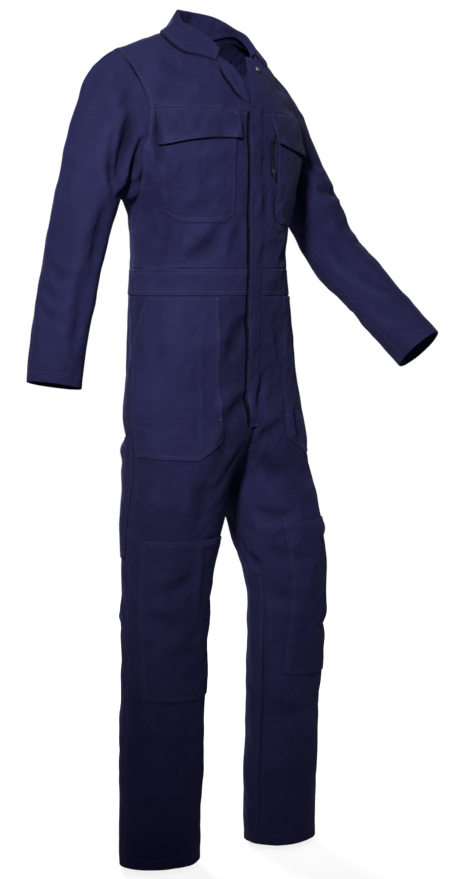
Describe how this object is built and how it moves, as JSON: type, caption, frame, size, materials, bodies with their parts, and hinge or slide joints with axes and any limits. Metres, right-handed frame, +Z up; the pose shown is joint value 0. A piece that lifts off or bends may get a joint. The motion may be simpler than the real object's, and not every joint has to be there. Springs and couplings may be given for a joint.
{
  "type": "boiler suit",
  "caption": "Slim one-piece boiler suit in plain navy twill, filled out as worn, with a turned-down collar, flap chest pockets, slanted hip pockets and knee pockets.",
  "frame": {"origin": "middle of the base of the neck, at the height where the wearer's shoulders carry the suit", "axes": "+Z up, -Y the way the suit faces, -X to the wearer's right"},
  "size_m": [0.8033, 0.3587, 1.5299],
  "materials": {
    "navy_twill": "matt cotton twill",
    "zip_tape": "woven tape with metal teeth",
    "stud_metal": "plated"
  },
  "bodies": {
    "root": {"back": "navy_twill", "front_right": "navy_twill", "front_left": "navy_twill", "front_yoke_right": "navy_twill", "front_yoke_left": "navy_twill", "waistband_back": "navy_twill", "waistband_front_right": "navy_twill", "waistband_front_left": "navy_twill", "leg_front_right": "navy_twill", "leg_front_left": "navy_twill", "leg_back_right": "navy_twill", "leg_back_left": "navy_twill", "sleeve_right": "navy_twill", "sleeve_left": "navy_twill", "collar": "navy_twill", "fly_strip": "navy_twill", "turned_band": "navy_twill", "chest_pocket_right": "navy_twill", "chest_pocket_left": "navy_twill", "chest_flap_right": "navy_twill", "chest_flap_left": "navy_twill", "chest_zip": "zip_tape", "hip_pocket_right": "navy_twill", "hip_pocket_left": "navy_twill", "knee_pocket_right": "navy_twill", "knee_pocket_left": "navy_twill", "rule_pocket": "navy_twill", "press_stud": "stud_metal"}
  },
  "joints": []
}
